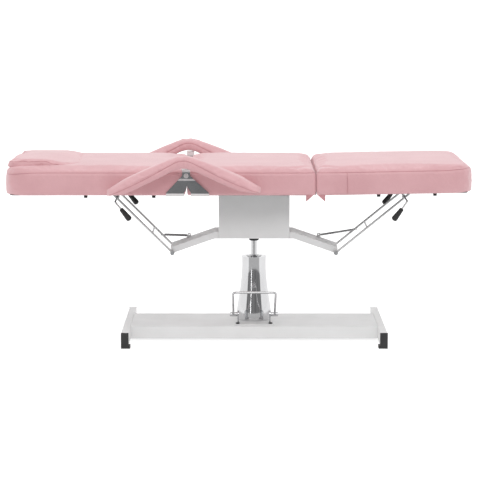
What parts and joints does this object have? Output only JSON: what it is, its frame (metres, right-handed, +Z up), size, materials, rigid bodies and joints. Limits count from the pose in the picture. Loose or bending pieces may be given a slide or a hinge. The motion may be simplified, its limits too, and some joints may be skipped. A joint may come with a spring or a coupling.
{
  "type": "facial treatment bed",
  "caption": "Height-adjustable facial treatment bed lying flat: padded backrest, seat and leg rest, pillow, arched armrests, pump column and H-shaped base.",
  "frame": {"origin": "on the floor, under the middle of the bed's length and width", "axes": "+Z up, +X from the head end to the foot end, +Y to the far side"},
  "size_m": [1.7895, 0.8378, 0.757],
  "materials": {
    "pink_upholstery": "satin",
    "white_paint": "satin",
    "chrome": "polished",
    "steel": "satin",
    "black_steel": "satin",
    "black_plastic": "matte",
    "black_rubber": "matte",
    "plywood": "matte"
  },
  "bodies": {
    "base": {"base_beam": "white_paint", "cross_tube_head": "white_paint", "cross_tube_foot": "white_paint", "end_cap_head_near": "black_plastic", "end_cap_head_far": "black_plastic", "end_cap_foot_near": "black_plastic", "end_cap_foot_far": "black_plastic", "pump_plate": "white_paint", "pump_plate_bolts": "black_steel", "pump_cylinder": "steel", "rod_guide": "chrome", "pump_cover": "chrome", "pedal_ears": "steel", "pedal_pins": "chrome"},
    "pedal": {"pedal": "chrome"},
    "lift": {"piston_rod": "chrome", "piston": "steel"},
    "carriage": {"rubber_washer": "black_rubber", "support_box": "white_paint", "rod_socket": "steel", "strut_arm_head": "white_paint", "strut_arm_foot": "white_paint", "strut_pins": "steel", "spring_eyes": "white_paint", "spring_head": "black_steel", "spring_foot": "black_steel", "seat_board": "plywood", "seat_cushion": "pink_upholstery", "seat_bracket_near": "steel", "seat_bracket_far": "steel", "armrest_board_near": "plywood", "armrest_board_far": "plywood", "armrest_pad_near": "pink_upholstery", "armrest_pad_far": "pink_upholstery", "backrest_pivot_bolts": "steel", "seat_bracket_screws": "black_steel", "seat_hinge_leaves": "steel", "hinge_pins": "steel"},
    "backrest": {"backrest_board": "plywood", "backrest_cushion": "pink_upholstery", "backrest_bracket_near": "steel", "backrest_bracket_far": "steel", "backrest_bracket_screws": "black_steel", "backrest_rails": "steel", "backrest_bumpers": "black_rubber"},
    "pillow": {"pillow": "pink_upholstery"},
    "leg_rest": {"leg_rest_board": "plywood", "leg_rest_cushion": "pink_upholstery", "leg_rest_rails": "steel", "leg_rest_bumpers": "black_rubber", "leg_hinge_leaves": "steel"},
    "strut_head": {"strut_head": "chrome"},
    "strut_foot": {"strut_foot": "chrome"},
    "release_head": {"release_rod_head": "chrome", "release_grip_head_near": "black_rubber", "release_grip_head_far": "black_rubber"},
    "release_foot": {"release_rod_foot": "chrome", "release_grip_foot_near": "black_rubber", "release_grip_foot_far": "black_rubber"}
  },
  "joints": [
    {"name": "pedal_hinge", "type": "hinge", "parent": "base", "child": "pedal", "pos_m": [0.06, -0.088, 0.1], "axis": [1, 0, 0], "range_deg": [0, 25], "stiffness_Nm_per_rad": 3, "springref_deg": -20.05},
    {"name": "lift_slide", "type": "slide", "parent": "base", "child": "lift", "axis": [0, 0, 1], "range_m": [-0.055, 0.1]},
    {"name": "seat_swivel", "type": "hinge", "parent": "lift", "child": "carriage", "pos_m": [0.06, 0, 0.4], "axis": [0, 0, 1], "continuous": true},
    {"name": "backrest_hinge", "type": "hinge", "parent": "carriage", "child": "backrest", "pos_m": [-0.2, 0, 0.676], "axis": [0, 1, 0], "range_deg": [0, 65]},
    {"name": "pillow_slide", "type": "slide", "parent": "backrest", "child": "pillow", "axis": [1, 0, 0], "range_m": [0, 0.1]},
    {"name": "leg_rest_hinge", "type": "hinge", "parent": "carriage", "child": "leg_rest", "pos_m": [0.2945, 0, 0.595], "axis": [0, 1, 0], "range_deg": [0, 55]},
    {"name": "strut_head_hinge", "type": "hinge", "parent": "carriage", "child": "strut_head", "pos_m": [-0.262, 0, 0.347], "axis": [0, 1, 0], "range_deg": [0, 40], "deforming": ["spring_head"]},
    {"name": "strut_foot_hinge", "type": "hinge", "parent": "carriage", "child": "strut_foot", "pos_m": [0.382, 0, 0.347], "axis": [0, 1, 0], "range_deg": [0, 86], "deforming": ["spring_foot"]},
    {"name": "release_head_hinge", "type": "hinge", "parent": "strut_head", "child": "release_head", "pos_m": [-0.47508, 0, 0.56856], "axis": [0, 1, 0], "range_deg": [-20, 0], "stiffness_Nm_per_rad": 2, "springref_deg": 11.46},
    {"name": "release_foot_hinge", "type": "hinge", "parent": "strut_foot", "child": "release_foot", "pos_m": [0.64697, 0, 0.57085], "axis": [0, 1, 0], "range_deg": [0, 20], "stiffness_Nm_per_rad": 2, "springref_deg": -11.46}
  ],
  "couplings": [
    {"joint": "strut_head_hinge", "follows": "backrest_hinge", "ratio": 0.5805},
    {"joint": "strut_foot_hinge", "follows": "leg_rest_hinge", "ratio": 1.5288}
  ]
}
